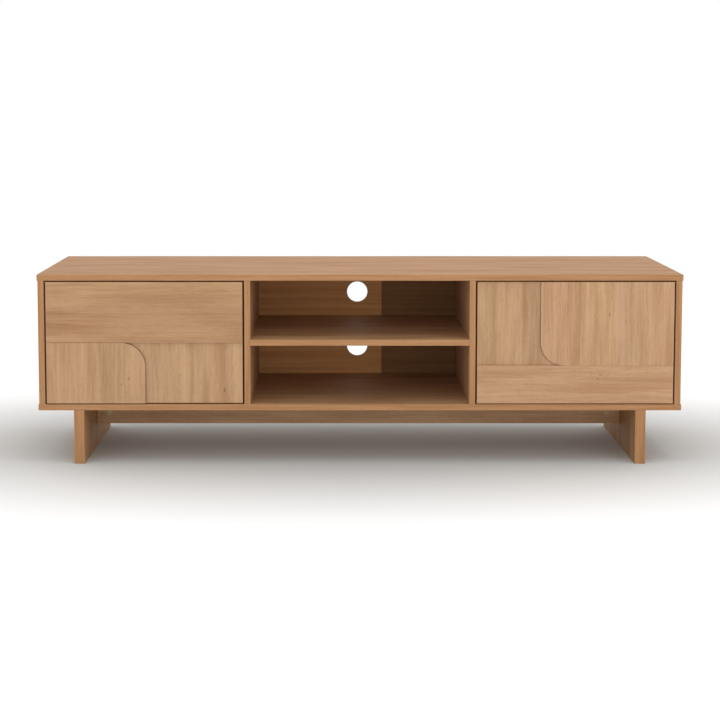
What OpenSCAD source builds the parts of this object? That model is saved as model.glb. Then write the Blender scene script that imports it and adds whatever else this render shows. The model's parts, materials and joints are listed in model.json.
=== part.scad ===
// Low television stand: a long carcass on two slab legs joined by a rail,
// an open two-tier bay in the middle and a hinged cupboard at each end.
// Origin: middle of the footprint, on the floor. +X to the right, +Y to the back, +Z up.

/* [Overall] */
// Length of the top and bottom panels
total_w = 1600; // [1300:5:2000]
// Depth of the carcass, front to back
total_d = 400; // [340:5:500]
// Height from the floor to the top surface
total_h = 475; // [430:5:600]

/* [Carcass] */
// Thickness of the carcass boards
board_t = 15; // [14:0.5:19]
// How far each side panel sits in from the end of the top
side_inset = 2; // [0:0.5:20]
// Clear width of the open bay
bay_w = 544; // [400:2:700]
// Height of the bay shelf's lower face above the bay floor
bay_shelf_rise = 147.5; // [110:0.5:180]
// Height of the cupboard shelves' lower faces above the cupboard floor
inner_shelf_rise = 147.5; // [125:0.5:160]
// Distance from the back of a door to the front edge of the cupboard shelf
inner_shelf_setback = 24; // [15:1:80]
// Thickness of the back panel
back_t = 3; // [2.5:0.5:6]
// Distance from the back panel to the rear edges of the carcass
back_inset = 9; // [6:0.5:20]
// Depth of the groove that holds the back panel
groove_depth = 6; // [4:0.5:8]
// Gap left around the back panel in its groove
groove_fit = 0.2; // [0.1:0.05:0.5]

/* [Cable holes] */
// Radius of the cable holes in the back panel
cable_hole_r = 28; // [15:0.5:40]
// Height of the lower cable hole's centre above the bay floor
cable_hole_rise = 78; // [45:1:90]
// Height of the upper cable hole's centre above the lower one
cable_hole_pitch = 150; // [120:1:170]

/* [Legs and rail] */
// Height of the legs
leg_h = 135; // [110:1:200]
// Thickness of the legs
leg_t = 26; // [22:1:40]
// Depth of the legs, from the front edge of the carcass
leg_d = 390; // [320:5:490]
// Distance from the end of the top to the outer face of a leg
leg_inset = 88; // [60:1:200]
// Height of the rail between the legs
rail_h = 78; // [70:1:100]
// Thickness of the rail
rail_t = 15; // [15:0.5:22]
// Distance from the front of the legs to the front face of the rail
rail_setback = 187.5; // [40:0.5:300]
// Height of the rail's cam locks above its lower edge
rail_cam_rise = 29; // [20:1:32]
// Distance from a leg to the nearest dowel on top of the rail
rail_dowel_inset = 288; // [150:1:400]

/* [Doors] */
// Thickness of a door panel behind its facings
door_core_t = 15; // [15:0.5:19]
// Thickness of the raised facings
facing_t = 5; // [2:0.5:5]
// Gap between a door and the upright beside it
door_side_gap = 4.2; // [4:0.1:6]
// Gap above a door
door_top_gap = 3.3; // [1.5:0.1:5]
// Gap below a door
door_bottom_gap = 2.5; // [1.5:0.1:5]
// Joint between the left door's two facings
left_facing_joint = 0.6; // [0.1:0.1:2]
// Joint between the right door's two facings
right_facing_joint = 0.2; // [0.1:0.1:2]
// Radius of the rounded corner of the arched facings
arch_r = 60; // [20:1:80]
// Width of the left door's arched facing
left_arch_w = 246; // [120:1:380]
// Height of the left door's arched facing
left_arch_h = 152.2; // [90:0.1:200]
// Width of the plain strip beside the right door's arched facing
right_plain_w = 157.2; // [60:0.1:300]
// Height of the right door's lower facing
right_lower_h = 95.2; // [50:0.1:180]

/* [Hinges] */
// Distance from the door's top or bottom edge to the hinge centre
hinge_end = 75; // [45:1:95]
// Radius of the hinge cup
cup_r = 17.5; // [17.5:0.5:18]
// Wood left between the cup and the door's front face
cup_cover = 6.5; // [6:0.5:8]
// Wood left between the door's edge and the cup
cup_edge = 3; // [3:0.5:4]
// Hinge pin's distance in from the door's edge
pin_in = 12; // [11.5:0.1:13]
// Hinge pin's height above the bottom of the cup's pocket
pin_rise = 3.5; // [3.4:0.1:4]
// Radius of the hinge pin
pin_r = 1.2; // [1:0.1:1.4]
// Running clearance around the hinge pin
pin_fit = 0.06; // [0.03:0.01:0.1]

/* [Latches] */
// Distance from the partition to the push latch
latch_in = 40; // [25:1:120]
// Distance from the top panel down to the latch plunger
latch_drop = 14; // [12:1:20]
// Radius of the latch plunger
plunger_r = 4; // [3:0.5:5]
// Sliding clearance around the plunger
plunger_fit = 0.1; // [0.05:0.05:0.3]

/* [Fixings] */
// Distance from a board's end to the centre of its cam lock
cam_reach = 32; // [24:1:34]
// Radius of a cam lock
cam_r = 7.5; // [7.5:0.5:8]
// Radius of the wooden dowels
dowel_r = 4; // [3:0.5:4]
// Distance from the front edge to the first cam lock
fixing_front = 50; // [35:1:90]
// Distance between a cam lock and the dowel beside it
fixing_pitch = 32; // [25:1:40]
// Radial gap around fixings in their holes
fixing_fit = 0.1; // [0.05:0.05:0.3]
// Spacing of the screws that hold each leg
leg_screw_pitch = 100; // [60:5:110]

/* [Hidden] */
$fn = 48;
eps = 0.01;
cut = 1;                                   // how far a cutter runs past a face

oak = [0.78, 0.64, 0.50];
oak_top = [0.80, 0.66, 0.53];
oak_edge = [0.70, 0.53, 0.38];
back_oak = [0.45, 0.33, 0.23];
beech = [0.86, 0.74, 0.56];
zinc = [0.66, 0.67, 0.68];
nickel = [0.76, 0.75, 0.73];
grey_plastic = [0.72, 0.72, 0.70];

// Carcass
front_y = -total_d / 2;
back_y = total_d / 2;
floor_z = leg_h + board_t;                 // cupboard and bay floor
ceiling_z = total_h - board_t;             // underside of the top
clear_h = ceiling_z - floor_z;
side_out_x = total_w / 2 - side_inset;
side_in_x = side_out_x - board_t;
bay_x = bay_w / 2;
partition_out_x = bay_x + board_t;
back_face_y = back_y - back_inset - back_t; // front face of the back panel
inner_d = back_face_y - groove_fit - front_y;
bay_shelf_z = floor_z + bay_shelf_rise;
inner_shelf_z = floor_z + inner_shelf_rise;
shelf_end_gap = 0.5;                       // loose shelf to upright, each end

// Legs and rail
leg_out_x = total_w / 2 - leg_inset;
leg_in_x = leg_out_x - leg_t;
leg_mid_x = (leg_out_x + leg_in_x) / 2;
rail_y = front_y + rail_setback;
rail_mid_y = rail_y + rail_t / 2;
rail_z = leg_h - rail_h;
rail_cam_z = rail_z + rail_cam_rise;
rail_dowel_xs = [-1, 0, 1] * (leg_in_x - rail_dowel_inset);

// Doors
door_t = door_core_t + facing_t;
door_w = side_in_x - partition_out_x - 2 * door_side_gap;
door_h = clear_h - door_top_gap - door_bottom_gap;
door_out_x = side_in_x - door_side_gap;
door_z = floor_z + door_bottom_gap;
hinge_zs = [door_z + hinge_end, door_z + door_h - hinge_end];

// Hinge, drawn for the left door: u in from the door's edge, w back from its front
cup_u = cup_edge + cup_r;
cup_fit = 0.1;
cup_wall = 1;
cup_floor_t = 0.8;
cup_depth = door_t - cup_cover;
cup_floor_w = cup_cover + cup_fit;         // outside of the cup's floor
pin_back = cup_cover + pin_rise;           // pin's distance behind the door's front face
cup_in_r = cup_r - cup_fit - cup_wall;
cup_rim = 1;                               // rim past the pocket's edge
flange_t = 1.2;
flange_r = 7;
flange_screw_z = 24;
flange_screw_u = cup_u + 6;
cup_screw_bite = 10;                       // screw length in the door
knuckle_r = 2.2;
neck_t = 1.8;
neck_half = 7;                             // half the neck's width
ear_t = 1.6;
ear_half = 3;
ear_z = neck_half + 0.4;                   // inner face of a pin ear
pin_end = 0.5;                             // pin showing past each ear
plate_w = door_t + 37;                     // screw line of the mounting plate
plate_t = 2;
plate_screw_z = 16;
plate_screw_bite = 12;                     // screw length in the side panel
block_half = 6.2;                          // half the width of the plate's middle block
block_start = plate_w - 11;
block_len = 46;
arm_u = 8;                                 // underside of the arm's top web
arm_web = 2;                               // thicker than the neck, which ends inside it
neck_in_web = 4;
arm_half = 8;
arm_start = block_start - 2;
arm_len = 54;
arm_side_h = 6;                            // height of the arm's two side walls
arm_side_fit = 0.3;                        // gap between a side wall and the block
arm_side_start = 4;
arm_screw_w = plate_w + 25;
arm_adjust_w = plate_w + 4;
arm_screw_r = 2;
arm_screw_len = 6;                         // below the arm's web
arm_screw_head_r = 4;
arm_screw_head_t = 2;
recess_w = 1;                              // cross recess in a screw head
recess_reach = 2.5;
recess_depth = 1;
neck_path = [
    [pin_in, pin_back],
    [pin_in + 12.5, pin_back + 2],
    [cup_u + 10.5, door_t - 1],
    [cup_u + 10.5, door_t + 8],
    [cup_u + 3.5, door_t + 15],
    [cup_u - 6, door_t + 20],
    [arm_u + arm_web / 2, arm_start + arm_web / 2],
    [arm_u + arm_web / 2, arm_start + arm_web / 2 + neck_in_web]
];
// Wood screws
screw_r = 1.75;
screw_head_r = 3.4;
screw_head_t = 1.8;
hole_spare = 0.5;                          // how much deeper a hole is than what it holds

// Latch, drawn for the left door
latch_x = partition_out_x + latch_in;
strike_t = 1.2;
strike_r = 7;
spigot_r = 2.5;
spigot_len = 8;
tip_gap = 0.2;
tip_reach = 4;                             // plunger showing when the door is shut
latch_len = 60;
latch_half = 8;
latch_h = latch_drop + 8;
latch_wing = 18;
latch_wing_t = 3;
latch_wing_len = 30;
latch_screw_x = 13;
latch_screw_len = 10;
plunger_len = 54;
latch_front_y = front_y + door_t + strike_t + tip_gap + tip_reach;

// Cam locks, bolts and dowels
cam_t = 12;
cam_sink = 0.3;                            // cam face below the board's face
cam_slot_w = 1.2;
cam_slot_depth = 2 - cam_sink;
cam_slot_reach = 0.6 * cam_r;
cam_mouth = 0.5;                           // way in for the bolt's head, wider than the head
bolt_thread_r = 2.5;
bolt_thread_len = 11;
bolt_collar_r = 3.4;
bolt_neck_r = 1.8;
bolt_head_r = 3;
bolt_head_t = 3;
bolt_neck_len = 4;
bolt_head_at = 2;                          // head's distance from the cam's centre
bolt_bore_r = 4;
dowel_in = 20;                             // dowel length in the board's end
dowel_out = 10;                            // dowel length in the neighbour's face
side_mid_x = side_out_x - board_t / 2;
partition_mid_x = bay_x + board_t / 2;
upright_cam_ys = [front_y + fixing_front, back_face_y - fixing_front];
upright_dowel_ys = [upright_cam_ys[0] + fixing_pitch, upright_cam_ys[1] - fixing_pitch];
shelf_fixing_shift = 20;                   // the bay shelf's cams are this much further in
shelf_cam_ys = [upright_cam_ys[0] + shelf_fixing_shift, upright_cam_ys[1] - shelf_fixing_shift];
shelf_dowel_ys = [shelf_cam_ys[0] + fixing_pitch, shelf_cam_ys[1] - fixing_pitch];
leg_screw_ys = [for (i = [-1.5:1.5]) front_y + leg_d / 2 + i * leg_screw_pitch];
leg_screw_r = 3.4;
leg_screw_head_r = 5;
leg_screw_head_t = 3;
leg_screw_len = 45;

// Shelf pins
shelf_pin_r = 2.5;
shelf_pin_in = 8;
shelf_pin_head_r = 3.5;
shelf_pin_head_len = 8;
shelf_pin_inset = 50;                      // from the shelf's front or back edge
shelf_pin_pitch = 32;                      // spare holes above and below
shelf_pin_gap = 0.05;                      // shelf to pin
inner_shelf_y = front_y + door_t + inner_shelf_setback;
shelf_pin_ys = [inner_shelf_y + shelf_pin_inset, back_face_y - shelf_pin_inset];
shelf_pin_z = inner_shelf_z - shelf_pin_head_r - shelf_pin_gap;

// ---- Placing ----

// Shapes are drawn for the left half; side = 1 mirrors them to the right
module on_side(side) {
    if (side > 0) mirror([1, 0, 0]) children();
    else children();
}

// Box from its lowest corner to its highest one
module block(low, high) {
    translate(low) cube(high - low);
}

// Cylinder along +Y
module rod_y(r, h) {
    rotate([-90, 0, 0]) cylinder(r = r, h = h);
}

// Cylinder along +X
module rod_x(r, h) {
    rotate([0, 90, 0]) cylinder(r = r, h = h);
}

// The top and bottom ends of the four uprights. Local +Z points into the
// panel that the upright meets, local +X towards the cupboard.
module at_upright_ends(ys) {
    for (side = [-1, 1], y = ys, foot = [0, 1], inward = [0, 1])
        on_side(side)
            translate([inward ? -partition_mid_x : -side_mid_x, y, foot ? floor_z : ceiling_z])
                rotate([foot * 180, 0, 0])
                    rotate([0, 0, inward * 180])
                        children();
}

// The ends of the bay shelf. Local +Z points into the partition, local +X down.
module at_shelf_ends(ys) {
    for (side = [-1, 1], y = ys)
        on_side(side)
            translate([-bay_x, y, bay_shelf_z + board_t / 2])
                rotate([0, -90, 0]) rotate([0, 0, 180])
                    children();
}

// The ends of the rail. Local +Z points into the leg, local +X to the front.
module at_rail_ends(z) {
    for (side = [-1, 1])
        on_side(side)
            translate([-leg_in_x, rail_mid_y, z])
                rotate([0, -90, 0]) rotate([0, 0, -90])
                    children();
}

// The dowels between the rail and the bottom panel
module at_rail_top() {
    for (x = rail_dowel_xs)
        translate([x, rail_mid_y, leg_h])
            children();
}

module at_leg_screws() {
    for (side = [-1, 1], y = leg_screw_ys)
        on_side(side)
            translate([-leg_mid_x, y, floor_z])
                children();
}

// Both hinges of the left door, at the front corner of the door's hinge edge
module at_hinges() {
    for (z = hinge_zs)
        translate([-door_out_x, front_y, z])
            children();
}

// Where the left latch's plunger meets the door's back
module at_latch() {
    translate([-latch_x, front_y + door_t, ceiling_z - latch_drop])
        children();
}

// Shelf pin holes of the left cupboard. Local +X points into the upright.
module at_shelf_pins(z_steps) {
    for (y = shelf_pin_ys, step = z_steps, facing_side = [0, 1])
        translate([facing_side ? -side_in_x : -partition_out_x, y, shelf_pin_z + step * shelf_pin_pitch])
            rotate([0, 0, facing_side * 180])
                children();
}

// ---- Fixings ----

// Cam lock seated in its pocket, with the way in for the bolt's head
module cam_lock(t) {
    difference() {
        translate([t / 2 - cam_sink - cam_t + fixing_fit, 0, -cam_reach])
            rod_x(cam_r - fixing_fit, cam_t - fixing_fit);
        translate([0, 0, -cam_reach - bolt_head_r])
            cylinder(r = bolt_head_r + cam_mouth, h = cam_r + bolt_head_r + cut);
        for (a = [0, 90])
            translate([t / 2 - cam_sink, 0, -cam_reach]) rotate([a, 0, 0])
                block([-cam_slot_depth, -cam_slot_w / 2, -cam_slot_reach],
                      [cut, cam_slot_w / 2, cam_slot_reach]);
    }
}

// Pocket for the cam and the bore that the bolt lies in
module cam_pocket(t) {
    translate([t / 2 - cam_sink - cam_t, 0, -cam_reach]) rod_x(cam_r, cam_t + cam_sink + cut);
    translate([0, 0, -cam_reach]) cylinder(r = bolt_bore_r, h = cam_reach + cut);
}

module cam_bolt() {
    head_z = bolt_head_at - cam_reach;
    neck_z = head_z + bolt_head_t - eps;
    collar_z = neck_z + bolt_neck_len;
    translate([0, 0, head_z]) cylinder(r = bolt_head_r, h = bolt_head_t);
    translate([0, 0, neck_z]) cylinder(r = bolt_neck_r, h = bolt_neck_len + eps);
    translate([0, 0, collar_z]) cylinder(r = bolt_collar_r, h = -collar_z);
    translate([0, 0, -eps]) cylinder(r = bolt_thread_r, h = bolt_thread_len);
}

module bolt_thread_hole() {
    translate([0, 0, -cut]) cylinder(r = bolt_thread_r + fixing_fit, h = bolt_thread_len + 2 * cut);
}

module dowel() {
    translate([0, 0, -dowel_in]) cylinder(r = dowel_r, h = dowel_in + dowel_out);
}

module dowel_hole() {
    translate([0, 0, -dowel_in - hole_spare])
        cylinder(r = dowel_r + fixing_fit, h = dowel_in + dowel_out + 2 * hole_spare);
}

// Flat-headed wood screw: head at the origin, shank along -Z
module wood_screw(len) {
    translate([0, 0, -screw_head_t]) cylinder(r1 = screw_r, r2 = screw_head_r, h = screw_head_t);
    translate([0, 0, -len]) cylinder(r = screw_r, h = len - screw_head_t + eps);
}

module wood_screw_hole(len) {
    fit = fixing_fit;
    translate([0, 0, -screw_head_t]) cylinder(r1 = screw_r + fit, r2 = screw_head_r + fit, h = screw_head_t);
    translate([0, 0, -eps]) cylinder(r = screw_head_r + fit, h = cut);
    translate([0, 0, -len - hole_spare]) cylinder(r = screw_r + fit, h = len);
}

module leg_screw() {
    translate([0, 0, -leg_screw_head_t]) cylinder(r = leg_screw_head_r, h = leg_screw_head_t);
    translate([0, 0, -leg_screw_len])
        cylinder(r = leg_screw_r, h = leg_screw_len - leg_screw_head_t + eps);
}

module leg_screw_hole() {
    fit = fixing_fit;
    translate([0, 0, -leg_screw_head_t - fit])
        cylinder(r = leg_screw_head_r + fit, h = leg_screw_head_t + fit + cut);
    translate([0, 0, -leg_screw_len - hole_spare]) cylinder(r = leg_screw_r + fit, h = leg_screw_len);
}

// ---- Carcass ----

// Slot that the back panel stands in, in the top, bottom and sides
module back_groove() {
    x = side_in_x + groove_depth;
    block([-x, back_face_y - groove_fit, floor_z - groove_depth],
          [x, back_face_y + back_t + groove_fit, ceiling_z + groove_depth]);
}

module top_panel() {
    color(oak_top) difference() {
        block([-total_w / 2, front_y, ceiling_z], [total_w / 2, back_y, total_h]);
        back_groove();
        at_upright_ends(upright_cam_ys) bolt_thread_hole();
        at_upright_ends(upright_dowel_ys) dowel_hole();
        for (side = [-1, 1]) on_side(side) at_latch_screws() wood_screw_hole(latch_screw_len + latch_wing_t);
    }
}

module bottom_panel() {
    color(oak_edge) difference() {
        block([-total_w / 2, front_y, leg_h], [total_w / 2, back_y, floor_z]);
        back_groove();
        at_upright_ends(upright_cam_ys) bolt_thread_hole();
        at_upright_ends(upright_dowel_ys) dowel_hole();
        at_rail_top() dowel_hole();
        at_leg_screws() leg_screw_hole();
    }
}

module side_panel() {
    color(oak) difference() {
        block([-side_out_x, front_y, floor_z], [-side_in_x, back_y, ceiling_z]);
        back_groove();
        at_upright_ends(upright_cam_ys) cam_pocket(board_t);
        at_upright_ends(upright_dowel_ys) dowel_hole();
        at_plate_screws() wood_screw_hole(plate_t + plate_screw_bite);
        at_shelf_pins([-1, 0, 1]) shelf_pin_hole();
    }
}

module partition() {
    color(oak) difference() {
        block([-partition_out_x, front_y, floor_z], [-bay_x, front_y + inner_d, ceiling_z]);
        at_upright_ends(upright_cam_ys) cam_pocket(board_t);
        at_upright_ends(upright_dowel_ys) dowel_hole();
        at_shelf_ends(shelf_cam_ys) bolt_thread_hole();
        at_shelf_ends(shelf_dowel_ys) dowel_hole();
        at_shelf_pins([-1, 0, 1]) shelf_pin_hole();
    }
}

module left_side_panel() { side_panel(); }
module right_side_panel() { on_side(1) side_panel(); }
module left_partition() { partition(); }
module right_partition() { on_side(1) partition(); }

module bay_shelf() {
    color(oak) difference() {
        block([-bay_x, front_y, bay_shelf_z], [bay_x, front_y + inner_d, bay_shelf_z + board_t]);
        at_shelf_ends(shelf_cam_ys) cam_pocket(board_t);
        at_shelf_ends(shelf_dowel_ys) dowel_hole();
    }
}

module inner_shelf() {
    color(oak) block([-side_in_x + shelf_end_gap, inner_shelf_y, inner_shelf_z],
                     [-partition_out_x - shelf_end_gap, front_y + inner_d, inner_shelf_z + board_t]);
}

module left_inner_shelf() { inner_shelf(); }
module right_inner_shelf() { on_side(1) inner_shelf(); }

module back_panel() {
    edge = groove_depth - groove_fit;
    color(back_oak) difference() {
        block([-side_in_x - edge, back_face_y, floor_z - edge],
              [side_in_x + edge, back_face_y + back_t, ceiling_z + edge]);
        for (rise = [0, cable_hole_pitch])
            translate([0, back_face_y - cut, floor_z + cable_hole_rise + rise])
                rod_y(cable_hole_r, back_t + 2 * cut);
    }
}

module leg() {
    color(oak) difference() {
        block([-leg_out_x, front_y, 0], [-leg_in_x, front_y + leg_d, leg_h]);
        at_leg_screws() leg_screw_hole();
        at_rail_ends(rail_cam_z) bolt_thread_hole();
        at_rail_ends(rail_cam_z + fixing_pitch) dowel_hole();
    }
}

module left_leg() { leg(); }
module right_leg() { on_side(1) leg(); }

module centre_rail() {
    color(oak) difference() {
        block([-leg_in_x, rail_y, rail_z], [leg_in_x, rail_y + rail_t, leg_h]);
        at_rail_ends(rail_cam_z) cam_pocket(rail_t);
        at_rail_ends(rail_cam_z + fixing_pitch) dowel_hole();
        at_rail_top() dowel_hole();
    }
}

// ---- Doors ----

// Plain panel of the left door, behind its facings
module door_panel() {
    color(oak) difference() {
        block([-door_out_x, front_y + facing_t, door_z],
              [-door_out_x + door_w, front_y + door_t, door_z + door_h]);
        at_hinges() {
            translate([cup_u, cup_floor_w - cup_fit, 0]) rod_y(cup_r, cup_depth + cut);
            at_cup_screws() wood_screw_hole(flange_t + cup_screw_bite);
        }
        at_latch() translate([0, -spigot_len - hole_spare, 0]) rod_y(spigot_r + fixing_fit, spigot_len + cut);
    }
}

// Outline seen from the front, with its upper far corner rounded
module arched_outline(w, h) {
    difference() {
        square([w, h]);
        translate([w - arch_r, h - arch_r]) difference() {
            square(arch_r + cut);
            circle(arch_r, $fn = 96);
        }
    }
}

// Stands a front outline up on the door's lower left corner, as a facing
module facing(x) {
    translate([x, front_y + facing_t, door_z])
        rotate([90, 0, 0]) linear_extrude(facing_t)
            children();
}

module left_door_panel() { door_panel(); }
module right_door_panel() { on_side(1) door_panel(); }

module left_upper_facing() {
    rise = left_arch_h + left_facing_joint;
    color(oak) facing(-door_out_x) translate([0, rise]) square([door_w, door_h - rise]);
}

module left_arch_facing() {
    color(oak) facing(-door_out_x) arched_outline(left_arch_w, left_arch_h);
}

module right_arch_facing() {
    w = door_w - right_plain_w;
    h = door_h - right_lower_h - right_facing_joint;
    color(oak) facing(door_out_x - w)
        translate([w, door_h]) rotate(180) arched_outline(w, h);
}

module right_lower_facing() {
    color(oak) facing(door_out_x - door_w) square([door_w, right_lower_h]);
}

// ---- Hinges, drawn for the left door ----

// Screws that hold a cup's flange to the door; local +Z points out of the door
module at_cup_screws() {
    for (z = [-flange_screw_z, flange_screw_z])
        translate([flange_screw_u, door_t + flange_t, z]) rotate([-90, 0, 0]) children();
}

// Screws that hold the plates to the side panel; local +Z points into the cupboard
module at_plate_screws() {
    at_hinges() for (z = [-plate_screw_z, plate_screw_z])
        translate([plate_t - door_side_gap, plate_w, z]) rotate([0, 90, 0]) children();
}

module hinge_cup() {
    difference() {
        union() {
            translate([cup_u, cup_floor_w, 0]) rod_y(cup_r - cup_fit, door_t - cup_floor_w + flange_t);
            translate([cup_u, door_t, 0]) rod_y(cup_r + cup_rim, flange_t);
            block([flange_screw_u - flange_r, door_t, -flange_screw_z],
                  [flange_screw_u + flange_r, door_t + flange_t, flange_screw_z]);
            for (z = [-flange_screw_z, flange_screw_z])
                translate([flange_screw_u, door_t, z]) rod_y(flange_r, flange_t);
        }
        translate([cup_u, cup_floor_w + cup_floor_t, 0]) rod_y(cup_in_r, cup_depth + 2 * cut);
        at_cup_screws() wood_screw_hole(flange_t + cut);
    }
    // Two ears that hold the pin
    for (z = [-ear_z - ear_t, ear_z])
        difference() {
            block([pin_in - ear_half, cup_floor_w + cup_floor_t / 2, z],
                  [pin_in + ear_half, pin_back + ear_half, z + ear_t]);
            translate([pin_in, pin_back, z - cut]) cylinder(r = pin_r + eps, h = ear_t + 2 * cut);
        }
}

module hinge_pin() {
    reach = ear_z + ear_t + pin_end;
    translate([pin_in, pin_back, -reach]) cylinder(r = pin_r, h = 2 * reach);
}

// Normal of the run that ends at a path's point i
function run_normal(path, i) =
    let (run = path[i] - path[i - 1]) [-run[1], run[0]] / norm(run);

// A path's point i moved sideways by d, along the mitre of the two runs that meet there
function mitred(path, i, d) =
    let (last = len(path) - 1,
         before = run_normal(path, max(i, 1)),
         after = run_normal(path, min(i + 1, last)),
         mitre = before + after)
    path[i] + mitre * d / (mitre * before);

// Bent strip of even thickness along a path
module strip(path, t) {
    last = len(path) - 1;
    polygon(concat([for (i = [0:last]) mitred(path, i, t / 2)],
                   [for (i = [last:-1:0]) mitred(path, i, -t / 2)]));
}

module hinge_arm() {
    difference() {
        union() {
            translate([0, 0, -neck_half]) linear_extrude(2 * neck_half) strip(neck_path, neck_t);
            translate([pin_in, pin_back, -neck_half]) cylinder(r = knuckle_r, h = 2 * neck_half);
            block([arm_u, arm_start, -arm_half], [arm_u + arm_web, arm_start + arm_len, arm_half]);
            for (z = [-arm_half, block_half + arm_side_fit])
                block([arm_u - arm_side_h, arm_start + arm_side_start, z],
                      [arm_u + eps, arm_start + arm_len, z + arm_half - block_half - arm_side_fit]);
        }
        translate([pin_in, pin_back, -neck_half - cut])
            cylinder(r = pin_r + pin_fit, h = 2 * (neck_half + cut));
        for (w = [arm_adjust_w, arm_screw_w])
            translate([arm_u - cut, w, 0]) rod_x(arm_screw_r + fixing_fit, arm_web + 2 * cut);
    }
}

module mounting_plate() {
    wall_u = -door_side_gap;
    difference() {
        union() {
            block([wall_u, block_start, -block_half],
                  [arm_u - fixing_fit, block_start + block_len, block_half]);
            block([wall_u, plate_w - flange_r, -plate_screw_z],
                  [wall_u + plate_t, plate_w + flange_r, plate_screw_z]);
            for (z = [-plate_screw_z, plate_screw_z])
                translate([wall_u, plate_w, z]) rod_x(flange_r, plate_t);
        }
        for (w = [arm_adjust_w, arm_screw_w])
            translate([arm_u - arm_screw_len - cut, w, 0])
                rod_x(arm_screw_r + fixing_fit, arm_screw_len + 2 * cut);
        for (z = [-plate_screw_z, plate_screw_z])
            translate([wall_u + plate_t, plate_w, z]) rotate([0, 90, 0]) wood_screw_hole(plate_t + cut);
    }
}

// Clamping screw with a head on the arm, and adjusting screw flush with it
module arm_screw_pair() {
    for (w = [arm_screw_w, arm_adjust_w])
        translate([arm_u - arm_screw_len, w, 0]) rod_x(arm_screw_r, arm_screw_len + arm_web + eps);
    translate([arm_u + arm_web, arm_screw_w, 0]) difference() {
        rod_x(arm_screw_head_r, arm_screw_head_t);
        for (a = [0, 90])
            rotate([a, 0, 0])
                block([arm_screw_head_t - recess_depth, -recess_w / 2, -recess_reach],
                      [arm_screw_head_t + cut, recess_w / 2, recess_reach]);
    }
}

module hinge_cups() { color(nickel) at_hinges() hinge_cup(); }
module hinge_pins() { color(nickel) at_hinges() hinge_pin(); }
module hinge_arms() { color(nickel) at_hinges() hinge_arm(); }
module mounting_plates() { color(nickel) at_hinges() mounting_plate(); }
module cup_screws() { color(nickel) at_hinges() at_cup_screws() wood_screw(flange_t + cup_screw_bite); }
module plate_screws() { color(nickel) at_plate_screws() wood_screw(plate_t + plate_screw_bite); }
module arm_screws() { color(nickel) at_hinges() arm_screw_pair(); }

module left_hinge_cups() { hinge_cups(); }
module left_hinge_pins() { hinge_pins(); }
module left_hinge_arms() { hinge_arms(); }
module left_mounting_plates() { mounting_plates(); }
module left_cup_screws() { cup_screws(); }
module left_plate_screws() { plate_screws(); }
module left_arm_screws() { arm_screws(); }
module right_hinge_cups() { on_side(1) hinge_cups(); }
module right_hinge_pins() { on_side(1) hinge_pins(); }
module right_hinge_arms() { on_side(1) hinge_arms(); }
module right_mounting_plates() { on_side(1) mounting_plates(); }
module right_cup_screws() { on_side(1) cup_screws(); }
module right_plate_screws() { on_side(1) plate_screws(); }
module right_arm_screws() { on_side(1) arm_screws(); }

// ---- Push latches, drawn for the left door ----

module at_latch_screws() {
    for (x = [-latch_screw_x, latch_screw_x])
        translate([x - latch_x, latch_front_y + latch_len / 2, ceiling_z - latch_wing_t])
            rotate([180, 0, 0]) children();
}

module latch_body() {
    y = latch_front_y;
    color(grey_plastic) difference() {
        union() {
            block([-latch_x - latch_half, y, ceiling_z - latch_h],
                  [-latch_x + latch_half, y + latch_len, ceiling_z]);
            block([-latch_x - latch_wing, y + (latch_len - latch_wing_len) / 2, ceiling_z - latch_wing_t],
                  [-latch_x + latch_wing, y + (latch_len + latch_wing_len) / 2, ceiling_z]);
        }
        translate([-latch_x, y - cut, ceiling_z - latch_drop])
            rod_y(plunger_r + plunger_fit, plunger_len + cut);
        at_latch_screws() wood_screw_hole(latch_wing_t + cut);
    }
}

module latch_plunger() {
    color(nickel) at_latch() translate([0, strike_t + tip_gap, 0]) rod_y(plunger_r, plunger_len);
}

module latch_screws() {
    color(nickel) at_latch_screws() wood_screw(latch_wing_t + latch_screw_len);
}

// Disc that the plunger's magnet pulls on, pressed into the door by its spigot
module strike_plate() {
    color(nickel) at_latch() {
        rod_y(strike_r, strike_t);
        translate([0, -spigot_len, 0]) rod_y(spigot_r, spigot_len + eps);
    }
}

module left_latch_body() { latch_body(); }
module left_latch_plunger() { latch_plunger(); }
module left_latch_screws() { latch_screws(); }
module left_strike_plate() { strike_plate(); }
module right_latch_body() { on_side(1) latch_body(); }
module right_latch_plunger() { on_side(1) latch_plunger(); }
module right_latch_screws() { on_side(1) latch_screws(); }
module right_strike_plate() { on_side(1) strike_plate(); }

// ---- Knock-down fixings ----

module carcass_cam_locks() { color(zinc) at_upright_ends(upright_cam_ys) cam_lock(board_t); }
module carcass_cam_bolts() { color(nickel) at_upright_ends(upright_cam_ys) cam_bolt(); }
module carcass_dowels() { color(beech) at_upright_ends(upright_dowel_ys) dowel(); }
module shelf_cam_locks() { color(zinc) at_shelf_ends(shelf_cam_ys) cam_lock(board_t); }
module shelf_cam_bolts() { color(nickel) at_shelf_ends(shelf_cam_ys) cam_bolt(); }
module shelf_dowels() { color(beech) at_shelf_ends(shelf_dowel_ys) dowel(); }
module rail_cam_locks() { color(zinc) at_rail_ends(rail_cam_z) cam_lock(rail_t); }
module rail_cam_bolts() { color(nickel) at_rail_ends(rail_cam_z) cam_bolt(); }
module rail_dowels() {
    color(beech) {
        at_rail_ends(rail_cam_z + fixing_pitch) dowel();
        at_rail_top() dowel();
    }
}
module leg_screws() { color(zinc) at_leg_screws() leg_screw(); }

// Pin that a cupboard shelf rests on: spigot in the upright, head under the shelf
module shelf_pin() {
    rod_x(shelf_pin_r, shelf_pin_in);
    translate([-shelf_pin_head_len, 0, 0]) rod_x(shelf_pin_head_r, shelf_pin_head_len);
}

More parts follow.
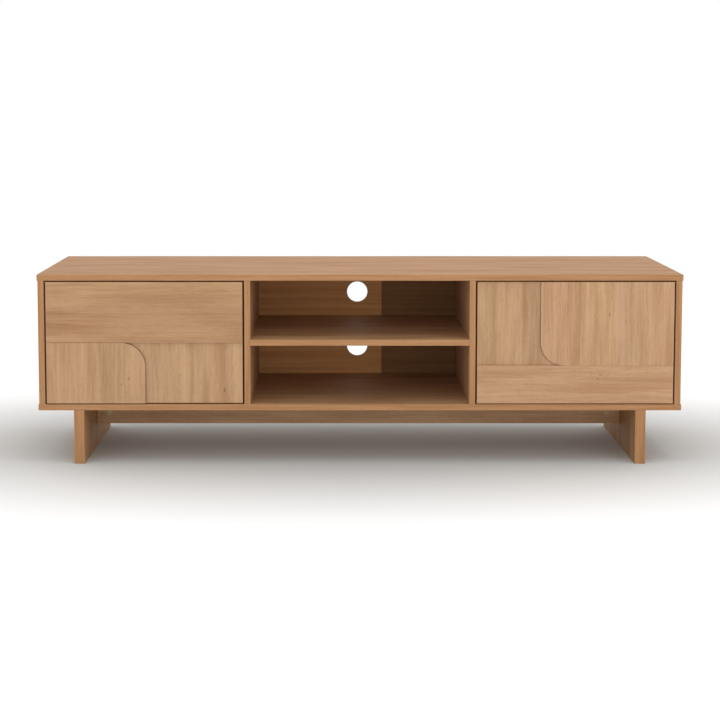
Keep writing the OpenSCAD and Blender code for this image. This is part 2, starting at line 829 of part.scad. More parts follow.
module shelf_pin_hole() {
    translate([-cut, 0, 0]) rod_x(shelf_pin_r + fixing_fit, shelf_pin_in + cut + hole_spare);
}

module left_shelf_pins() { color(nickel) at_shelf_pins([0]) shelf_pin(); }
module right_shelf_pins() { on_side(1) left_shelf_pins(); }

top_panel();
bottom_panel();
left_side_panel();
right_side_panel();
left_partition();
right_partition();
bay_shelf();
left_inner_shelf();
right_inner_shelf();
back_panel();
left_leg();
right_leg();
centre_rail();
left_door_panel();
left_upper_facing();
left_arch_facing();
right_door_panel();
right_arch_facing();
right_lower_facing();
left_hinge_cups();
left_hinge_pins();
left_hinge_arms();
left_mounting_plates();
left_cup_screws();
left_plate_screws();
left_arm_screws();
right_hinge_cups();
right_hinge_pins();
right_hinge_arms();
right_mounting_plates();
right_cup_screws();
right_plate_screws();
right_arm_screws();
left_latch_body();
left_latch_plunger();
left_latch_screws();
left_strike_plate();
right_latch_body();
right_latch_plunger();
right_latch_screws();
right_strike_plate();
carcass_cam_locks();
carcass_cam_bolts();
carcass_dowels();
shelf_cam_locks();
shelf_cam_bolts();
shelf_dowels();
rail_cam_locks();
rail_cam_bolts();
rail_dowels();
leg_screws();
left_shelf_pins();
right_shelf_pins();
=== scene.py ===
import json
import math

import bmesh
import bpy
import numpy as np
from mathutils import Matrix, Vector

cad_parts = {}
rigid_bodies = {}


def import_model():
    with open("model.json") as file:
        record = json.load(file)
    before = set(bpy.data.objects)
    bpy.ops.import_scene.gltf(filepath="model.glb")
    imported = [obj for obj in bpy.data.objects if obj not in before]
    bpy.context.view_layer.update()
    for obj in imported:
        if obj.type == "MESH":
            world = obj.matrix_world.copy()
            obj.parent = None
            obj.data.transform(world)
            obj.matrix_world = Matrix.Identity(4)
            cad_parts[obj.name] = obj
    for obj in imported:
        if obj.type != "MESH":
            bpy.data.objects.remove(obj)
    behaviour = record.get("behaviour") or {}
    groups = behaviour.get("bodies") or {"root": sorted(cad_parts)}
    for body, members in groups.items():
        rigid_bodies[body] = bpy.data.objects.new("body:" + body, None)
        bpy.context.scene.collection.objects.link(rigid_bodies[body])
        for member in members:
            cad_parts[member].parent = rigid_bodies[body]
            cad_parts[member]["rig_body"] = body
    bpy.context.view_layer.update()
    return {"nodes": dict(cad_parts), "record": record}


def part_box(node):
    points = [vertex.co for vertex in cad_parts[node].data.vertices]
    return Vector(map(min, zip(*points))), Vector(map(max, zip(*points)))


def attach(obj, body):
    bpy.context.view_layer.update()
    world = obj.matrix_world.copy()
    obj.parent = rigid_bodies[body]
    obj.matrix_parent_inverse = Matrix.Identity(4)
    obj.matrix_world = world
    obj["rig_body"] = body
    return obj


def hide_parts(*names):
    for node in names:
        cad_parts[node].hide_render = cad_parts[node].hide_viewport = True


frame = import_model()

mm = 0.001
bodyOf = {name: node["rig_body"] for name, node in frame["nodes"].items()}
slotOf = {part["node"]: part["material_slot"] for part in frame["record"]["subparts"]}
print("frame loaded:", len(frame["nodes"]), "nodes")


# sRGB hex to linear light: below 0.04045 divide by 12.92, above it ((c + 0.055) / 1.055) to the 2.4
def toLinear(hexColour):
    c = np.array([int(hexColour[i:i + 2], 16) for i in (0, 2, 4)]) / 255
    c = np.where(c <= 0.04045, c / 12.92, ((c + 0.055) / 1.055) ** 2.4)
    return (*c.tolist(), 1.0)


# One node: settings are its own properties, inputs are values or sockets to link from.
# It hands back the named output, or the first one.
def addNode(tree, kind, settings, inputs, output=0):
    node = tree.nodes.new(kind)
    for name, value in settings.items():
        setattr(node, name, value)
    for key, value in inputs.items():
        if isinstance(value, bpy.types.NodeSocket):
            tree.links.new(value, node.inputs[key])
        else:
            node.inputs[key].default_value = value
    return node.outputs[output]


# An empty material, and its output node
def newMaterial(name):
    material = bpy.data.materials.new(name)
    material.use_nodes = True
    tree = material.node_tree
    tree.nodes.clear()
    return material, tree, tree.nodes.new("ShaderNodeOutputMaterial")


# Oak foil: melamine paper printed with planed oak and pressed onto the board, so it is flat and
# matt, with the colour of oak but only a trace of its relief. The print shows staves of slightly
# different colour, broad soft figure, growth rings that bow round small knots, straight streaks,
# fine fibre and short dark pores. Lengths run along the grain and widths across it, in mm.
oakFoil = {
    "light": "c49e7a", "dark": "ad8561", "pore": "8f6a46", "knot": "6b4426",
    "figure": (300, 34), "ring": 8.5, "ringBow": (430, 60), "ringReach": 5.5,
    "streak": (300, 9), "fibre": (34, 2.4), "pores": (15, 1.4), "sway": (240, 90), "swayBy": 9,
    "shares": (0.56, 0.05, 0.22, 0.17),  # of figure, ring, streak and fibre in the colour
    "ringPower": 1.7,  # slow to darken, quick to clear, as a growth ring is
    "spread": (0.35, 0.65),  # darkness at which the colour is all light and all dark
    "poreFrom": 0.68, "poreTo": 0.8, "poreShade": 0.45, "poreDepth": 0.05,
    "roughness": 0.6, "roughnessSwing": 0.06, "gloss": 0.2,
}
# A knot, in shares of its own size: how much shorter it counts along the grain, how far it
# pushes the rings and by how many, and its dark core
knotShape = {"squash": 0.45, "reach": 11, "pushes": 1.6, "coreFrom": 0.35, "coreTo": 1.3, "shade": 0.6}
# ABS edge band: extruded strip with an oak print, a little redder and smoother than the foil
edgeBand = dict(oakFoil, light="bb8d64", dark="aa7b52", figure=(300, 9), ring=4,
                streak=(500, 3), roughness=0.5, gloss=0.1)


# A noise pattern drawn out along the grain: the place over the pattern's length and width in mm
def grainPattern(tree, place, size, detail):
    scaled = addNode(tree, "ShaderNodeVectorMath", {"operation": "MULTIPLY"},
                     {0: place, 1: (1 / (size[0] * mm), 1 / (size[1] * mm), 1)})
    return addNode(tree, "ShaderNodeTexNoise", {},
                   {"Vector": scaled, "Scale": 1.0, "Detail": detail, "Roughness": 0.55})


# stave tints: (distance across the board in mm, hex) pairs, hex bcbcbc leaving the colour as it is.
# They hold the print's stave tones, and on some boards a darker tint all over that is painted shade.
# knots: (along, across, size) in mm from the board's low corner.
def oakMaterial(name, look, staveTintsAndShade=(), knots=(), seed=0.0):
    material, tree, output = newMaterial(name)
    onBoard = addNode(tree, "ShaderNodeUVMap", {"uv_map": "board"}, {})
    place = addNode(tree, "ShaderNodeUVMap", {"uv_map": "grain"}, {})
    place = addNode(tree, "ShaderNodeVectorMath", {"operation": "ADD"}, {0: place, 1: (0, 0, seed)})

    # the grain sways: (noise - 0.5) times twice the sway, added across it
    sway = addNode(tree, "ShaderNodeMath", {"operation": "MULTIPLY_ADD"},
                   {0: grainPattern(tree, place, look["sway"], 1.0),
                    1: 2 * look["swayBy"] * mm, 2: -look["swayBy"] * mm})
    sway = addNode(tree, "ShaderNodeCombineXYZ", {}, {"Y": sway})
    place = addNode(tree, "ShaderNodeVectorMath", {"operation": "ADD"}, {0: place, 1: sway})
    across = addNode(tree, "ShaderNodeSeparateXYZ", {}, {"Vector": place}, "Y")

    # ring number = distance across over ring width, bowed by a slow noise and pushed up round knots
    ringNumber = addNode(tree, "ShaderNodeMath", {"operation": "MULTIPLY"},
                         {0: across, 1: 1 / (look["ring"] * mm)})
    ringNumber = addNode(tree, "ShaderNodeMath", {"operation": "MULTIPLY_ADD"},
                         {0: grainPattern(tree, place, look["ringBow"], 1.0), 1: look["ringReach"],
                          2: ringNumber})
    knotShade = 0.0
    for along, side, size in knots:
        apart = addNode(tree, "ShaderNodeVectorMath", {"operation": "SUBTRACT"},
                        {0: onBoard, 1: (along * mm, side * mm, 0)})
        apart = addNode(tree, "ShaderNodeVectorMath", {"operation": "MULTIPLY"},
                        {0: apart, 1: (knotShape["squash"], 1, 0)})
        apart = addNode(tree, "ShaderNodeVectorMath", {"operation": "LENGTH"}, {0: apart}, "Value")
        pushed = addNode(tree, "ShaderNodeMapRange", {"interpolation_type": "SMOOTHERSTEP"},
                         {"Value": apart, "From Max": knotShape["reach"] * size * mm,
                          "To Min": knotShape["pushes"], "To Max": 0.0})
        ringNumber = addNode(tree, "ShaderNodeMath", {"operation": "ADD"}, {0: ringNumber, 1: pushed})
        core = addNode(tree, "ShaderNodeMapRange", {"interpolation_type": "SMOOTHSTEP"},
                       {"Value": apart, "From Min": knotShape["coreFrom"] * size * mm,
                        "From Max": knotShape["coreTo"] * size * mm,
                        "To Min": knotShape["shade"], "To Max": 0.0})
        knotShade = addNode(tree, "ShaderNodeMath", {"operation": "MAXIMUM"}, {0: core, 1: knotShade})
    ring = addNode(tree, "ShaderNodeMath", {"operation": "FRACT"}, {0: ringNumber})
    ring = addNode(tree, "ShaderNodeMath", {"operation": "POWER"}, {0: ring, 1: look["ringPower"]})

    # darkness = the four patterns in their shares
    fibre = grainPattern(tree, place, look["fibre"], 1.0)
    patterns = (grainPattern(tree, place, look["figure"], 2.0), ring,
                grainPattern(tree, place, look["streak"], 1.0), fibre)
    darkness = 0.0
    for pattern, share in zip(patterns, look["shares"]):
        darkness = addNode(tree, "ShaderNodeMath", {"operation": "MULTIPLY_ADD"},
                           {0: pattern, 1: share, 2: darkness})
    darkness = addNode(tree, "ShaderNodeMapRange", {"interpolation_type": "SMOOTHSTEP"},
                       {"Value": darkness, "From Min": look["spread"][0], "From Max": look["spread"][1]})
    colour = addNode(tree, "ShaderNodeMix", {"data_type": "RGBA"},
                     {0: darkness, 6: toLinear(look["light"]), 7: toLinear(look["dark"])}, 2)
    pores = addNode(tree, "ShaderNodeMapRange", {},
                    {"Value": grainPattern(tree, place, look["pores"], 0.0),
                     "From Min": look["poreFrom"], "From Max": look["poreTo"], "To Max": look["poreShade"]})
    colour = addNode(tree, "ShaderNodeMix", {"data_type": "RGBA"},
                     {0: pores, 6: colour, 7: toLinear(look["pore"])}, 2)
    if knots:
        colour = addNode(tree, "ShaderNodeMix", {"data_type": "RGBA"},
                         {0: knotShade, 6: colour, 7: toLinear(look["knot"])}, 2)

    # stave tint, print tone or painted shade: a step at each stave's edge, by twice the tint's linear value
    if staveTintsAndShade:
        ramp = tree.nodes.new("ShaderNodeValToRGB")
        tree.links.new(addNode(tree, "ShaderNodeSeparateXYZ", {}, {"Vector": onBoard}, "Y"), ramp.inputs[0])
        ramp.color_ramp.interpolation = "CONSTANT"
        ramp.color_ramp.elements.remove(ramp.color_ramp.elements[1])
        for i, (at, tint) in enumerate(staveTintsAndShade):
            stop = ramp.color_ramp.elements[0] if i == 0 else ramp.color_ramp.elements.new(at * mm)
            stop.color = toLinear(tint)
        colour = addNode(tree, "ShaderNodeVectorMath", {"operation": "MULTIPLY"},
                         {0: colour, 1: ramp.outputs["Color"]})
        colour = addNode(tree, "ShaderNodeVectorMath", {"operation": "SCALE"}, {0: colour, "Scale": 2.0})

    rough = addNode(tree, "ShaderNodeMapRange", {},
                    {"Value": fibre, "To Min": look["roughness"] - look["roughnessSwing"],
                     "To Max": look["roughness"] + look["roughnessSwing"]})
    bump = addNode(tree, "ShaderNodeBump", {"invert": True},
                   {"Strength": 0.3, "Distance": look["poreDepth"] * mm, "Height": pores})
    shader = addNode(tree, "ShaderNodeBsdfPrincipled", {},
                     {"Base Color": colour, "Roughness": rough, "Normal": bump,
                      "Specular IOR Level": look["gloss"]})
    tree.links.new(shader, output.inputs["Surface"])
    return material


# Raw particle board: pressed wood chips, seen on cut ends and in drilled holes. The cells of a
# Voronoi pattern are the chips, each with its own tone, and fine noise is the dust between them.
chipBoard = {"chip": "c9ab7c", "dust": "8a6a43", "chipSize": 1.8, "dustSize": 0.6, "relief": 0.1,
             "roughness": 0.85, "gloss": 0.1}


def chipMaterial(name, look):
    material, tree, output = newMaterial(name)
    place = addNode(tree, "ShaderNodeTexCoord", {}, {}, "Object")
    chips = addNode(tree, "ShaderNodeTexVoronoi", {},
                    {"Vector": place, "Scale": 1 / (look["chipSize"] * mm)}, "Color")
    chips = addNode(tree, "ShaderNodeSeparateColor", {}, {"Color": chips})
    dust = addNode(tree, "ShaderNodeTexNoise", {},
                   {"Vector": place, "Scale": 1 / (look["dustSize"] * mm), "Detail": 2.0})
    shade = addNode(tree, "ShaderNodeMath", {"operation": "MULTIPLY"}, {0: chips, 1: dust})
    colour = addNode(tree, "ShaderNodeMix", {"data_type": "RGBA"},
                     {0: shade, 6: toLinear(look["dust"]), 7: toLinear(look["chip"])}, 2)
    bump = addNode(tree, "ShaderNodeBump", {},
                   {"Strength": 0.5, "Distance": look["relief"] * mm, "Height": dust})
    shader = addNode(tree, "ShaderNodeBsdfPrincipled", {},
                     {"Base Color": colour, "Roughness": look["roughness"], "Normal": bump,
                      "Specular IOR Level": look["gloss"]})
    tree.links.new(shader, output.inputs["Surface"])
    return material


chipFace = chipMaterial("particleBoardRaw", chipBoard)
bandFace = oakMaterial("oakEdgeBandAbs", edgeBand, seed=3.0)
# Painted shade on a raised facing's routed edge: its side faces are dark brown, drawing the line of shade
# along the step
paintedShadeEdge = dict(oakFoil, light="63391a", dark="512e13", pore="3a2412", roughness=0.6, gloss=0.15)
paintedShadeEdgeFace = oakMaterial("paintedShadeStepEdge", paintedShadeEdge, seed=7.0)
boardMake = {
    "easing": 0.8,  # mm, radius of the eased edges of a board
    "easingSteps": 3,
    "facingEasing": 0.25,  # mm, radius of a raised facing's front edge
    "facingEasingSteps": 5,
    "near": 0.01,  # mm, how close a point on an outer side lies to it
}


# A mesh's points, and each face's normal and centre, as arrays
def meshArrays(mesh):
    points = np.zeros(3 * len(mesh.vertices))
    normals, centres = np.zeros((2, 3 * len(mesh.polygons)))
    mesh.vertices.foreach_get("co", points)
    mesh.polygons.foreach_get("normal", normals)
    mesh.polygons.foreach_get("center", centres)
    return points.reshape(-1, 3), normals.reshape(-1, 3), centres.reshape(-1, 3)


# How far one seed moves the print along and across, and how far the band is from the foil, in m
seedShift = np.array([0.83, 0.57])
edgeShift = 0.31


# Two UV maps in metres. "grain" runs along the grain on the broad faces and along the strip on
# the edges, moved by the board's seed so that no two boards match. "board" counts from the
# board's low corner, along the grain and across it.
def grainMaps(mesh, low, grain, thin, seed):
    points, normals, _ = meshArrays(mesh)
    corners = np.zeros(len(mesh.loops), int)
    mesh.loops.foreach_get("vertex_index", corners)
    sizes = np.zeros(len(mesh.polygons), int)
    mesh.polygons.foreach_get("loop_total", sizes)
    at = points[corners]
    facing = np.abs(normals).argmax(axis=1)
    side = np.repeat(facing, sizes)
    other = 3 - grain - thin
    along = np.where(side == grain, at[:, other], at[:, grain])
    across = np.where(side == thin, at[:, other], at[:, thin])
    moved = seed * seedShift + np.where(side == thin, 0, edgeShift)[:, None]
    maps = {"grain": np.stack([along, across], axis=1) + moved,
            "board": np.stack([at[:, grain] - low[grain], at[:, other] - low[other]], axis=1)}
    for name, values in maps.items():
        mesh.uv_layers.new(name=name).data.foreach_set("uv", values.astype(np.float32).ravel())
    return facing


# The oak foil of one board, with the board's own staves, knots and seed
def foilOf(node, look):
    staveTintsAndShade, knots = look.get("staveTintsAndShade", ()), look.get("knots", ())
    return oakMaterial("oakFoil_" + node, oakFoil, staveTintsAndShade, knots, look["seed"])


# Puts a finished mesh in the scene in place of its CAD node
def standFor(node, mesh):
    piece = bpy.data.objects.new(node + "_board", mesh)
    bpy.context.scene.collection.objects.link(piece)
    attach(piece, bodyOf[node])
    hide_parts(node)
    return piece


# A board: the CAD node's shape with its holes, foil on the two broad faces, band round the
# edges and raw particle board on cut ends and in holes. Its long free edges are eased.
# butts lists the sides that meet another board or stay raw, as (axis, -1 low or 1 high).
def board(node, look):
    low, high = (np.array(c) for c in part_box(node))
    thin = int((high - low).argmin())
    build = bmesh.new()
    build.from_mesh(frame["nodes"][node].data)
    bmesh.ops.remove_doubles(build, verts=build.verts, dist=0.002 * mm)
    bmesh.ops.dissolve_limit(build, angle_limit=math.radians(0.5), verts=build.verts, edges=build.edges)
    free = []
    for edge in build.edges:
        tips = np.array([v.co for v in edge.verts])
        touched = [(axis, sign) for sign, corner in ((-1, low), (1, high)) for axis in range(3)
                   if (np.abs(tips[:, axis] - corner[axis]) < boardMake["near"] * mm).all()]
        if len(touched) == 2 and not set(touched) & set(look["butts"]):
            free.append(edge)
    bmesh.ops.bevel(build, geom=free, offset=boardMake["easing"] * mm, segments=boardMake["easingSteps"],
                    profile=0.5, affect="EDGES", clamp_overlap=False)
    mesh = bpy.data.meshes.new(node)
    build.to_mesh(mesh)
    build.free()
    if "custom_normal" in mesh.attributes:  # the CAD mesh's own, wrong once its faces are joined
        mesh.attributes.remove(mesh.attributes["custom_normal"])
    mesh.shade_flat()
    facing = grainMaps(mesh, low, look["grain"], thin, look["seed"])
    _, normals, centres = meshArrays(mesh)
    inHole = np.minimum(centres - low, high - centres).min(axis=1) > boardMake["easing"] * mm
    rawEnd = np.zeros(len(facing), bool)
    for axis, sign in look["butts"]:
        rawEnd |= normals[:, axis] * sign > 0.99
    finish = np.where(inHole | rawEnd, 2, np.where(facing == thin, 0, 1))
    for face in (foilOf(node, look), bandFace, chipFace):
        mesh.materials.append(face)
    mesh.polygons.foreach_set("material_index", finish.astype(np.int32))
    return standFor(node, mesh)


# Each board: its grain axis (0, 1, 2 for X, Y, Z), the sides that butt, its stave tints and knots.
# The top, bottom, bay shelf, partitions and legs are tinted darker all over: painted shade.
ends, sides, rear = ((2, -1), (2, 1)), ((0, -1), (0, 1)), ((1, 1),)
boardLooks = {
    # painted shade: the top's tints darken its whole foil, to tone down the light that falls on it from above
    "top_panel": {"grain": 0, "seed": 1, "butts": rear,
                  "staveTintsAndShade": ((0, "a89f95"), (95, "aaa096"), (210, "a79d94"), (300, "a9a096"))},
    # painted shade: a darker tint all over, for the shade on the floor of the bay and cupboards
    "bottom_panel": {"grain": 0, "seed": 2, "butts": rear, "staveTintsAndShade": ((0, "afaba6"),)},
    "left_side_panel": {"grain": 2, "seed": 4, "butts": ends + rear,
                        "staveTintsAndShade": ((0, "bcbcbc"), (130, "babab9"), (260, "bdbcbc"))},
    "right_side_panel": {"grain": 2, "seed": 5, "butts": ends + rear,
                         "staveTintsAndShade": ((0, "bbbbbc"), (150, "bdbdbc"), (270, "babab9"))},
    # painted shade: darker tints all over for the shade inside the bays, the right partition's darker still
    "left_partition": {"grain": 2, "seed": 6, "butts": ends + rear, "staveTintsAndShade": ((0, "b2aca8"),)},
    "right_partition": {"grain": 2, "seed": 7, "butts": ends + rear, "staveTintsAndShade": ((0, "aaa6a5"),)},
    # painted shade: a darker tint all over, for the shade inside the bay
    "bay_shelf": {"grain": 0, "seed": 8, "butts": sides + rear, "staveTintsAndShade": ((0, "afaba6"),)},
    "left_inner_shelf": {"grain": 0, "seed": 9, "butts": rear},
    "right_inner_shelf": {"grain": 0, "seed": 10, "butts": rear},
    # painted shade: darker tints all over for the shade under the unit, the right leg's darker still
    "left_leg": {"grain": 2, "seed": 11, "butts": ((2, 1),), "staveTintsAndShade": ((0, "aaa59d"),)},
    "right_leg": {"grain": 2, "seed": 12, "butts": ((2, 1),), "staveTintsAndShade": ((0, "a39e97"),)},
    "centre_rail": {"grain": 0, "seed": 13, "butts": sides + ((2, 1),)},
    "left_door_panel": {"grain": 2, "seed": 14, "butts": (),
                        "staveTintsAndShade": ((0, "bdbdbd"), (328, "c0c0bf"), (372, "bdbdbe"), (410, "c3c2c1"),
                                   (424, "bcbcbc"), (462, "c4c4c1"), (480, "c1c1be")),
                        "knots": ((139, 446, 1.6), (32, 442, 2.6))},
    "right_door_panel": {"grain": 2, "seed": 15, "butts": (),
                         "staveTintsAndShade": ((0, "babcb8"), (18, "b6b7b5"), (44, "bebdbd"), (112, "b6b5b4"),
                                    (160, "bdbcbc"))},
}
boards = [board(node, look) for node, look in boardLooks.items()]
print("boards made:", len(boards))

# Each raised facing: as a board, and where its rounded corner points, in X and Z. An edge
# inside the door's outline takes the dark painted shade where the Z part of its normal is over
# the facing's own limit (2 leaves all in foil).
facingLooks = {
    "left_upper_facing": {"grain": 0, "seed": 21, "corner": None, "paintedShadeDownTo": -2,
                          "staveTintsAndShade": ((0, "b7b3b1"), (28, "b3aeac"), (74, "b7b4b3"), (104, "bab8b5"))},
    "left_arch_facing": {"grain": 2, "seed": 22, "corner": (1, 1), "paintedShadeDownTo": -0.9,
                         "staveTintsAndShade": ((0, "bcbabb"), (40, "bebdbd"), (118, "babab9"), (196, "bdbcbc")),
                         "knots": ((62, 204, 1.8), (48, 186, 1.6))},
    "right_arch_facing": {"grain": 2, "seed": 23, "corner": (-1, -1), "paintedShadeDownTo": -0.9,
                          "staveTintsAndShade": ((0, "c2c0c2"), (66, "bdb9ba"), (80, "bab6b4"), (97, "c2c3c1"),
                                     (180, "bfc0c1"), (250, "c2c1c2")),
                          "knots": ((127, 170, 2.2), (110, 211, 1.5))},
    "right_lower_facing": {"grain": 0, "seed": 24, "corner": None, "paintedShadeDownTo": 2,
                           "staveTintsAndShade": ((0, "c1bfc1"), (48, "c2c1c2")),
                           "knots": ((306, 70, 1.6), (300, 62, 1.5))},
}
cornerRadius = 60 * mm
cornerSteps = 48


# Outline of a facing, drawn in by inset: a rectangle, or one whose rounded corner is a quarter
# circle about its own centre, with a radius of the corner's less the inset
def facingOutline(low, high, corner, inset):
    x0, z0, x1, z1 = low[0] + inset, low[2] + inset, high[0] - inset, high[2] - inset
    if corner is None:
        return np.array([(x0, z0), (x1, z0), (x1, z1), (x0, z1)])
    turn = np.linspace(0, math.pi / 2, cornerSteps + 1)
    middle = [high[k] - cornerRadius if way > 0 else low[k] + cornerRadius for k, way in zip((0, 2), corner)]
    arc = np.stack([middle[0] + corner[0] * (cornerRadius - inset) * np.cos(turn),
                    middle[1] + corner[1] * (cornerRadius - inset) * np.sin(turn)], axis=1)
    rest = [(x0, z1), (x0, z0), (x1, z0)] if corner[0] > 0 else [(x1, z0), (x1, z1), (x0, z1)]
    return np.concatenate([arc, rest])


# A raised facing: its outline carried forward from its back to its front, where it is drawn in
# along a quarter round of the easing's radius, and closed at both ends
def facing(node, look):
    low, high = (np.array(c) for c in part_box(node))
    ease = boardMake["facingEasing"] * mm
    turn = np.linspace(0, math.pi / 2, boardMake["facingEasingSteps"] + 1)
    insets = np.concatenate([[0], ease * (1 - np.cos(turn))])
    depths = np.concatenate([[high[1]], low[1] + ease * (1 - np.sin(turn))])
    outlines = np.array([facingOutline(low, high, look["corner"], inset) for inset in insets])
    count, around = outlines.shape[:2]
    carried = np.repeat(depths[:, None], around, axis=1)
    points = np.stack([outlines[..., 0], carried, outlines[..., 1]], axis=-1)
    ring, step = np.meshgrid(np.arange(count - 1) * around, np.arange(around), indexing="ij")
    after = (step + 1) % around
    quads = np.stack([ring + step, ring + after, ring + around + after, ring + around + step], axis=-1)
    caps = [list(range(around)), list(range((count - 1) * around, count * around))]
    mesh = bpy.data.meshes.new(node)
    mesh.from_pydata(points.reshape(-1, 3).tolist(), [], quads.reshape(-1, 4).tolist() + caps)
    build = bmesh.new()
    build.from_mesh(mesh)
    bmesh.ops.recalc_face_normals(build, faces=build.faces)
    build.to_mesh(mesh)
    build.free()
    grainMaps(mesh, low, look["grain"], 1, look["seed"])
    for face in (foilOf(node, look), paintedShadeEdgeFace):
        mesh.materials.append(face)
    _, normals, centres = meshArrays(mesh)
    doorLow, doorHigh = (np.array(c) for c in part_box(node.split("_")[0] + "_door_panel"))
    isInner = (np.minimum(centres - doorLow, doorHigh - centres)[:, [0, 2]] > 1 * mm).all(axis=1)
    # painted shade: side faces inside the door's outline take the dark edge material
    isPaintedShadeEdge = isInner & (np.abs(normals[:, 1]) < 0.5) & (normals[:, 2] > look["paintedShadeDownTo"])
    mesh.polygons.foreach_set("material_index", isPaintedShadeEdge.astype(np.int32))
    return standFor(node, mesh)


facings = [facing(node, look) for node, look in facingLooks.items()]
print("facings made:", len(facings))

# Back panel: 3 mm hardboard. Its front has a printed paper, duller than the foil and darker to
# the right of a joint in the print; its back is bare, brown and felted by the press's mesh.
backBoard = {
    "light": "dfa66e", "dark": "c9915b", "streak": (420, 9), "spread": (0.35, 0.65),
    "leafFrom": 67, "leafBlend": 1, "leafDarkens": 0.4,  # mm to the right of the middle, mm either side
    "fibre": "8a6642", "fibreDark": "6f4f32", "meshPitch": 2.6, "relief": 0.15,
    "roughness": 0.62, "gloss": 0.15,
}


def backMaterial(name, look, middleY):
    material, tree, output = newMaterial(name)
    place = addNode(tree, "ShaderNodeTexCoord", {}, {}, "Object")
    x, y = (addNode(tree, "ShaderNodeSeparateXYZ", {}, {"Vector": place}, axis) for axis in "XY")
    length, width = look["streak"]
    scaled = addNode(tree, "ShaderNodeVectorMath", {"operation": "MULTIPLY"},
                     {0: place, 1: (1 / (length * mm), 0, 1 / (width * mm))})
    streak = addNode(tree, "ShaderNodeTexNoise", {}, {"Vector": scaled, "Scale": 1.0, "Detail": 3.0})
    streak = addNode(tree, "ShaderNodeMapRange", {},
                     {"Value": streak, "From Min": look["spread"][0], "From Max": look["spread"][1]})
    front = addNode(tree, "ShaderNodeMix", {"data_type": "RGBA"},
                    {0: streak, 6: toLinear(look["light"]), 7: toLinear(look["dark"])}, 2)
    leaf = addNode(tree, "ShaderNodeMapRange", {},
                   {"Value": x, "From Min": (look["leafFrom"] - look["leafBlend"]) * mm,
                    "From Max": (look["leafFrom"] + look["leafBlend"]) * mm,
                    "To Min": 1.0, "To Max": look["leafDarkens"]})
    front = addNode(tree, "ShaderNodeVectorMath", {"operation": "SCALE"}, {0: front, "Scale": leaf})
    felt = addNode(tree, "ShaderNodeTexNoise", {},
                   {"Vector": place, "Scale": 1 / (look["meshPitch"] * mm), "Detail": 3.0})
    rear = addNode(tree, "ShaderNodeMix", {"data_type": "RGBA"},
                   {0: felt, 6: toLinear(look["fibre"]), 7: toLinear(look["fibreDark"])}, 2)
    isRear = addNode(tree, "ShaderNodeMath", {"operation": "GREATER_THAN"}, {0: y, 1: middleY})
    colour = addNode(tree, "ShaderNodeMix", {"data_type": "RGBA"}, {0: isRear, 6: front, 7: rear}, 2)
    height = addNode(tree, "ShaderNodeMath", {"operation": "MULTIPLY"}, {0: isRear, 1: felt})
    bump = addNode(tree, "ShaderNodeBump", {},
                   {"Strength": 0.4, "Distance": look["relief"] * mm, "Height": height})
    shader = addNode(tree, "ShaderNodeBsdfPrincipled", {},
                     {"Base Color": colour, "Roughness": look["roughness"], "Normal": bump,
                      "Specular IOR Level": look["gloss"]})
    tree.links.new(shader, output.inputs["Surface"])
    return material


# Hardware finishes. mottle is the size in mm of the faint unevenness of each surface.
hardware = {
    # bright nickel on pressed steel: near mirror, with faint drawing marks
    "nickelPlatedSteel": {"colour": "c9c5bd", "mottled": "b3aea5",
                          "metallic": 1.0, "roughness": 0.28, "mottle": 2.5},
    # zinc die casting with a yellow passivated skin: olive and frosted
    "zincDieCast": {"colour": "d2c092", "mottled": "b5a274",
                    "metallic": 1.0, "roughness": 0.5, "mottle": 1.2},
    # turned beech: pale and dry, with short flecks
    "beechTurned": {"colour": "dcbf92", "mottled": "c39f6d",
                    "metallic": 0.0, "roughness": 0.6, "mottle": 1.0},
    # moulded ABS: even light grey with a fine sparked texture
    "absMoulded": {"colour": "c2c2bd", "mottled": "b2b2ad",
                   "metallic": 0.0, "roughness": 0.5, "mottle": 0.8},
}
# How far the mottle swings the roughness each way, and its relief in mm
unevenness = {"smoother": 0.06, "rougher": 0.08, "relief": 0.03}


def hardwareMaterial(name, look):
    material, tree, output = newMaterial(name)
    place = addNode(tree, "ShaderNodeTexCoord", {}, {}, "Object")
    mottle = addNode(tree, "ShaderNodeTexNoise", {},
                     {"Vector": place, "Scale": 1 / (look["mottle"] * mm), "Detail": 3.0})
    colour = addNode(tree, "ShaderNodeMix", {"data_type": "RGBA"},
                     {0: mottle, 6: toLinear(look["colour"]), 7: toLinear(look["mottled"])}, 2)
    rough = addNode(tree, "ShaderNodeMapRange", {},
                    {"Value": mottle, "To Min": look["roughness"] - unevenness["smoother"],
                     "To Max": look["roughness"] + unevenness["rougher"]})
    bump = addNode(tree, "ShaderNodeBump", {},
                   {"Strength": 0.15, "Distance": unevenness["relief"] * mm, "Height": mottle})
    shader = addNode(tree, "ShaderNodeBsdfPrincipled", {},
                     {"Base Color": colour, "Metallic": look["metallic"], "Roughness": rough, "Normal": bump})
    tree.links.new(shader, output.inputs["Surface"])
    return material


backLow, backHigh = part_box("back_panel")
finishes = {name: hardwareMaterial(name, look) for name, look in hardware.items()}
slotFinish = {
    "back_board": backMaterial("hardboardPrinted", backBoard, (backLow.y + backHigh.y) / 2),
    "nickel": finishes["nickelPlatedSteel"], "zinc": finishes["zincDieCast"],
    "beech": finishes["beechTurned"], "latch_plastic": finishes["absMoulded"],
}
for node, slot in slotOf.items():
    if slot in slotFinish:
        mesh = frame["nodes"][node].data
        mesh.materials.clear()
        mesh.materials.append(slotFinish[slot])
print("hardware finished")

# Studio: a round floor with a painted shadow, grey under the object and fading to white at its
# rim where it meets the white surroundings, and one large soft box overhead
studio = {
    "floorRadius": 40.0, "rimPoints": 96, "near": "c4c4c2", "far": "ffffff",
    # metres from the middle at which the painted shadow's grey ends and the white begins, lengths counting
    # less
    "paintedShadowTo": 0.12, "paintedShadowFadeTo": 0.85, "lengthwise": 0.35,
    "surroundings": 1.0, "boxPower": 15, "boxSize": 1.8, "boxAt": (0.35, -0.45, 2.7),
}


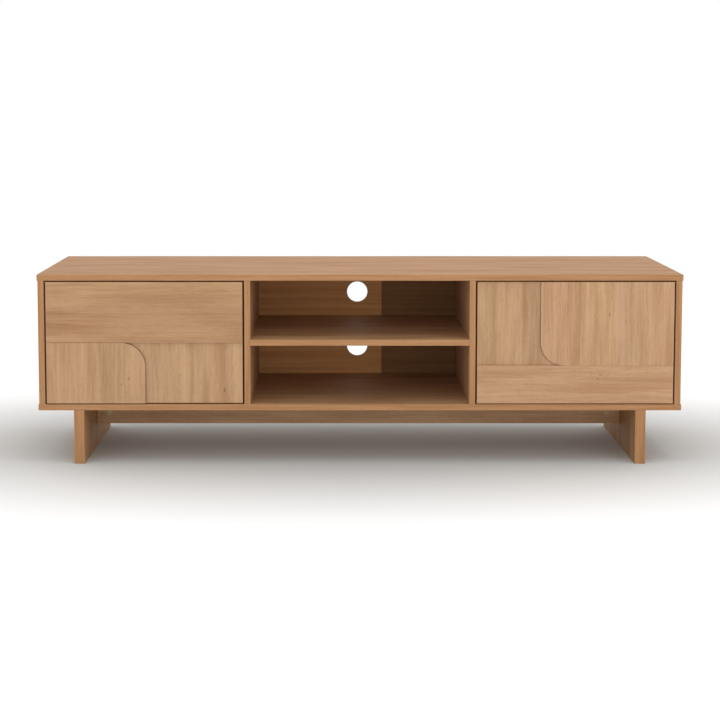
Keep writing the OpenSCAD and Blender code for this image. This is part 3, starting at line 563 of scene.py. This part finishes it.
def floorMaterial(look):
    material, tree, output = newMaterial("paleFloorPaintedShadow")
    place = addNode(tree, "ShaderNodeTexCoord", {}, {}, "Object")
    away = addNode(tree, "ShaderNodeVectorMath", {"operation": "MULTIPLY"},
                   {0: place, 1: (look["lengthwise"], 1, 0)})
    away = addNode(tree, "ShaderNodeVectorMath", {"operation": "LENGTH"}, {0: away}, "Value")
    # painted shadow: grey under the object, fading to white further out
    fade = addNode(tree, "ShaderNodeMapRange", {"interpolation_type": "SMOOTHSTEP"},
                   {"Value": away, "From Min": look["paintedShadowTo"], "From Max": look["paintedShadowFadeTo"]})
    colour = addNode(tree, "ShaderNodeMix", {"data_type": "RGBA"},
                     {0: fade, 6: toLinear(look["near"]), 7: toLinear(look["far"])}, 2)
    shader = addNode(tree, "ShaderNodeBsdfDiffuse", {}, {"Color": colour})
    tree.links.new(shader, output.inputs["Surface"])
    return material


turn = np.linspace(0, 2 * math.pi, studio["rimPoints"], endpoint=False)
rim = np.stack([np.cos(turn), np.sin(turn), 0 * turn], axis=1) * studio["floorRadius"]
floorMesh = bpy.data.meshes.new("floor")
floorMesh.from_pydata(rim.tolist(), [], [list(range(len(rim)))])
floorMesh.materials.append(floorMaterial(studio))
floor = bpy.data.objects.new("floor", floorMesh)
bpy.context.scene.collection.objects.link(floor)

world = bpy.data.worlds.new("studio")
bpy.context.scene.world = world
world.use_nodes = True
world.node_tree.nodes["Background"].inputs["Color"].default_value = (1, 1, 1, 1)
world.node_tree.nodes["Background"].inputs["Strength"].default_value = studio["surroundings"]
softBox = bpy.data.lights.new("softBox", "AREA")
softBox.shape, softBox.size, softBox.energy = "SQUARE", studio["boxSize"], studio["boxPower"]
softBoxPiece = bpy.data.objects.new("softBox", softBox)
softBoxPiece.location = studio["boxAt"]
bpy.context.scene.collection.objects.link(softBoxPiece)
bpy.context.scene.view_settings.view_transform = "Standard"

# Camera: a 67 mm lens 3.3 m in front of the doors, pitched 4 degrees down, its shift framing the unit
cameraView = {
    "lens": 67.43, "sensor": 36,  # mm
    "place": (-0.0644, -3.511, 0.9036), "pitch": 85.89, "shift": (0.0362, -0.2253),
}
camera = bpy.data.cameras.new("camera")
camera.lens, camera.sensor_width = cameraView["lens"], cameraView["sensor"]
camera.shift_x, camera.shift_y = cameraView["shift"]
cameraPiece = bpy.data.objects.new("camera", camera)
cameraPiece.location = cameraView["place"]
cameraPiece.rotation_euler = (math.radians(cameraView["pitch"]), 0, 0)
bpy.context.scene.collection.objects.link(cameraPiece)
bpy.context.scene.camera = cameraPiece
print("studio set")
